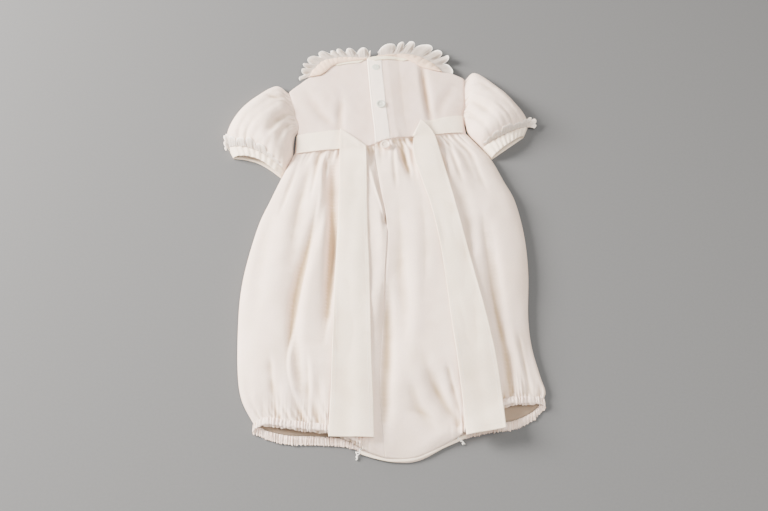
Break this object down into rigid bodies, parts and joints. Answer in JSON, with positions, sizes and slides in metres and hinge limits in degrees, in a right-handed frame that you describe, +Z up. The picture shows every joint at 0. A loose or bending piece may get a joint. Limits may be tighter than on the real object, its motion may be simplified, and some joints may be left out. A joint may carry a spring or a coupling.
{
  "type": "baby romper",
  "caption": "Baby romper of cream cotton with puff sleeves, ruffled round collar, back sashes and gathered bloomers, laid flat with its back up.",
  "frame": {"origin": "middle of the bounding box in plan, on the surface the romper lies on", "axes": "+X to the right as seen from above with the collar away, +Y from the crotch to the collar, +Z up from the surface towards the romper's back"},
  "size_m": [0.3414, 0.5106, 0.024],
  "materials": {
    "cotton": "matte fine ivory cotton",
    "ruffle_cotton": "matte ivory cotton ruffle",
    "sash_cotton": "matte ivory cotton sash",
    "button": "pearly cream"
  },
  "bodies": {
    "root": {"skirt_front": "cotton", "skirt_back_left": "cotton", "skirt_back_right": "cotton", "bodice_front": "cotton", "bodice_back_left": "cotton", "bodice_back_right": "cotton", "sleeve_left": "cotton", "sleeve_right": "cotton", "cuff_left": "cotton", "cuff_right": "cotton", "cuff_frill_left": "ruffle_cotton", "cuff_frill_right": "ruffle_cotton", "collar_left": "cotton", "collar_right": "cotton", "collar_ruffle_left": "ruffle_cotton", "collar_ruffle_right": "ruffle_cotton", "sash_left": "sash_cotton", "sash_right": "sash_cotton", "leg_band_left": "cotton", "leg_band_right": "cotton", "crotch_back": "cotton", "crotch_front": "cotton", "button_top": "button", "button_middle": "button", "button_waist": "button"}
  },
  "joints": []
}
